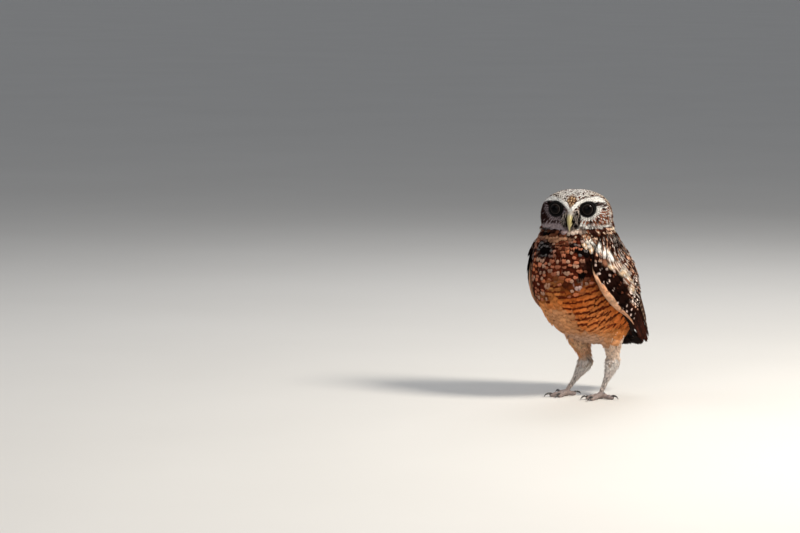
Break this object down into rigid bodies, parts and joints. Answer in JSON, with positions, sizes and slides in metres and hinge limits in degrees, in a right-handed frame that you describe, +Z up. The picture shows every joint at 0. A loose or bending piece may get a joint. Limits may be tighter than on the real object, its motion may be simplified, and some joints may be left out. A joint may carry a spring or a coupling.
{
  "type": "burrowing owl",
  "caption": "Life-size standing burrowing owl with its head turned over one shoulder, folded wings and long bare-looking legs.",
  "frame": {"origin": "on the floor, at the middle of the box round the owl", "axes": "+Z up, -Y the way the body faces, +X to the owl's own left"},
  "size_m": [0.1118, 0.146, 0.222],
  "materials": {
    "plumage_head": "soft small feathers, brown with fine pale spots and a white brow",
    "plumage_neck": "soft feathers, dark brown over rusty buff",
    "plumage_body": "soft feathers, spotted brown above and barred rusty buff below",
    "plumage_wing": "stiff flat feathers, dark brown with pale spots and bars",
    "plumage_tail": "stiff flat feathers, dark brown with pale bars",
    "plumage_thigh": "soft buff feathers",
    "plumage_shank": "short pale feathers",
    "scaly_skin": "dull scaly skin with a few bristles",
    "claw": "dark polished horn",
    "bill": "satin olive horn",
    "eye": "wet and very dark"
  },
  "bodies": {
    "root": {"head": "plumage_head", "neck": "plumage_neck", "torso": "plumage_body", "wing_left": "plumage_wing", "wing_right": "plumage_wing", "tail": "plumage_tail", "bill_upper": "bill", "bill_lower": "bill", "eye_left": "eye", "eye_right": "eye", "thigh_left": "plumage_thigh", "tarsus_left": "plumage_shank", "foot_left": "scaly_skin", "claw_inner_left": "claw", "claw_middle_left": "claw", "claw_outer_left": "claw", "claw_hind_left": "claw", "thigh_right": "plumage_thigh", "tarsus_right": "plumage_shank", "foot_right": "scaly_skin", "claw_inner_right": "claw", "claw_middle_right": "claw", "claw_outer_right": "claw", "claw_hind_right": "claw"}
  },
  "joints": []
}
